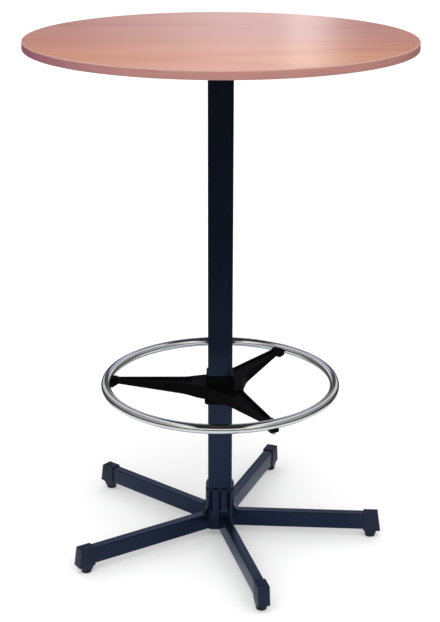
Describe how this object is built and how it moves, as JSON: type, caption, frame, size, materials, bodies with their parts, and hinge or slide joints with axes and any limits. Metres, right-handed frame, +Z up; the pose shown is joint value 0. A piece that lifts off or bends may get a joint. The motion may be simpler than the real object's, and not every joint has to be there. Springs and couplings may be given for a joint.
{
  "type": "pub table",
  "caption": "Tall round pub table: wood laminate top on a square steel column, flat-tube star base with levelling glides, and a chromed foot ring on a spider that clamps on the column.",
  "frame": {"origin": "on the floor, under the middle of the column", "axes": "+Z up, +X to the right and -Y to the front, as the table is normally seen"},
  "size_m": [0.7499, 0.75, 1.05],
  "materials": {
    "wood_laminate": "satin beech-pattern laminate",
    "chipboard": "chipboard with a plain backing face",
    "edge_plastic": "satin edging",
    "plate_paint": "black powder coat",
    "frame_paint": "satin dark blue-grey powder coat",
    "cap_plastic": "fine moulded texture",
    "pad_plastic": "moulded nylon",
    "zinc_steel": "zinc plated",
    "black_steel": "black oxide",
    "ring_chrome": "bright chrome plate",
    "spider_plastic": "black glass-filled nylon",
    "nylon_tip": "natural nylon"
  },
  "bodies": {
    "table": {"top_laminate": "wood_laminate", "top_core": "chipboard", "edge_band": "edge_plastic", "top_plate": "plate_paint", "top_spigot": "plate_paint", "top_plate_screws": "zinc_steel", "column": "frame_paint", "tie_rod": "zinc_steel", "tie_rod_nuts": "zinc_steel", "hub_sleeve": "frame_paint", "hub_plate": "frame_paint", "base_arm_1": "frame_paint", "base_arm_2": "frame_paint", "base_arm_3": "frame_paint", "base_arm_4": "frame_paint", "base_arm_5": "frame_paint", "arm_cap_1": "cap_plastic", "arm_cap_2": "cap_plastic", "arm_cap_3": "cap_plastic", "arm_cap_4": "cap_plastic", "arm_cap_5": "cap_plastic"},
    "foot_ring_carriage": {"foot_ring": "ring_chrome", "ring_spider": "spider_plastic", "ring_screws": "zinc_steel"},
    "clamp_tip": {"clamp_tip": "nylon_tip"},
    "clamp_screw": {"clamp_screw": "black_steel"},
    "glide_1": {"glide_pad_1": "pad_plastic"},
    "glide_stud_1": {"glide_stud_1": "zinc_steel"},
    "glide_2": {"glide_pad_2": "pad_plastic"},
    "glide_stud_2": {"glide_stud_2": "zinc_steel"},
    "glide_3": {"glide_pad_3": "pad_plastic"},
    "glide_stud_3": {"glide_stud_3": "zinc_steel"},
    "glide_4": {"glide_pad_4": "pad_plastic"},
    "glide_stud_4": {"glide_stud_4": "zinc_steel"},
    "glide_5": {"glide_pad_5": "pad_plastic"},
    "glide_stud_5": {"glide_stud_5": "zinc_steel"}
  },
  "joints": [
    {"name": "foot_ring_height", "type": "slide", "parent": "table", "child": "foot_ring_carriage", "axis": [0, 0, 1], "range_m": [-0.179, 0.66]},
    {"name": "clamp_tip_travel", "type": "slide", "parent": "foot_ring_carriage", "child": "clamp_tip", "axis": [0, 1, 0], "range_m": [0, 0.003]},
    {"name": "clamp_screw_turn", "type": "hinge", "parent": "clamp_tip", "child": "clamp_screw", "pos_m": [0, 0.036, 0.35675], "axis": [0, 1, 0], "range_deg": [0, 720]},
    {"name": "glide_1_travel", "type": "slide", "parent": "table", "child": "glide_1", "axis": [0, 0, -1], "range_m": [0, 0.00625]},
    {"name": "glide_1_turn", "type": "hinge", "parent": "glide_1", "child": "glide_stud_1", "pos_m": [0.3204, -0.0196, 0.02], "axis": [0, 0, -1], "range_deg": [0, 1800]},
    {"name": "glide_2_travel", "type": "slide", "parent": "table", "child": "glide_2", "axis": [0, 0, -1], "range_m": [0, 0.00625]},
    {"name": "glide_2_turn", "type": "hinge", "parent": "glide_2", "child": "glide_stud_2", "pos_m": [0.11765, 0.29866, 0.02], "axis": [0, 0, -1], "range_deg": [0, 1800]},
    {"name": "glide_3_travel", "type": "slide", "parent": "table", "child": "glide_3", "axis": [0, 0, -1], "range_m": [0, 0.00625]},
    {"name": "glide_3_turn", "type": "hinge", "parent": "glide_3", "child": "glide_stud_3", "pos_m": [-0.24769, 0.20418, 0.02], "axis": [0, 0, -1], "range_deg": [0, 1800]},
    {"name": "glide_4_travel", "type": "slide", "parent": "table", "child": "glide_4", "axis": [0, 0, -1], "range_m": [0, 0.00625]},
    {"name": "glide_4_turn", "type": "hinge", "parent": "glide_4", "child": "glide_stud_4", "pos_m": [-0.27073, -0.17247, 0.02], "axis": [0, 0, -1], "range_deg": [0, 1800]},
    {"name": "glide_5_travel", "type": "slide", "parent": "table", "child": "glide_5", "axis": [0, 0, -1], "range_m": [0, 0.00625]},
    {"name": "glide_5_turn", "type": "hinge", "parent": "glide_5", "child": "glide_stud_5", "pos_m": [0.08037, -0.31078, 0.02], "axis": [0, 0, -1], "range_deg": [0, 1800]}
  ],
  "couplings": [
    {"joint": "clamp_screw_turn", "follows": "clamp_tip_travel", "rad_per_m": 4188.7},
    {"joint": "glide_1_turn", "follows": "glide_1_travel", "rad_per_m": 5026.5},
    {"joint": "glide_2_turn", "follows": "glide_2_travel", "rad_per_m": 5026.5},
    {"joint": "glide_3_turn", "follows": "glide_3_travel", "rad_per_m": 5026.5},
    {"joint": "glide_4_turn", "follows": "glide_4_travel", "rad_per_m": 5026.5},
    {"joint": "glide_5_turn", "follows": "glide_5_travel", "rad_per_m": 5026.5}
  ]
}
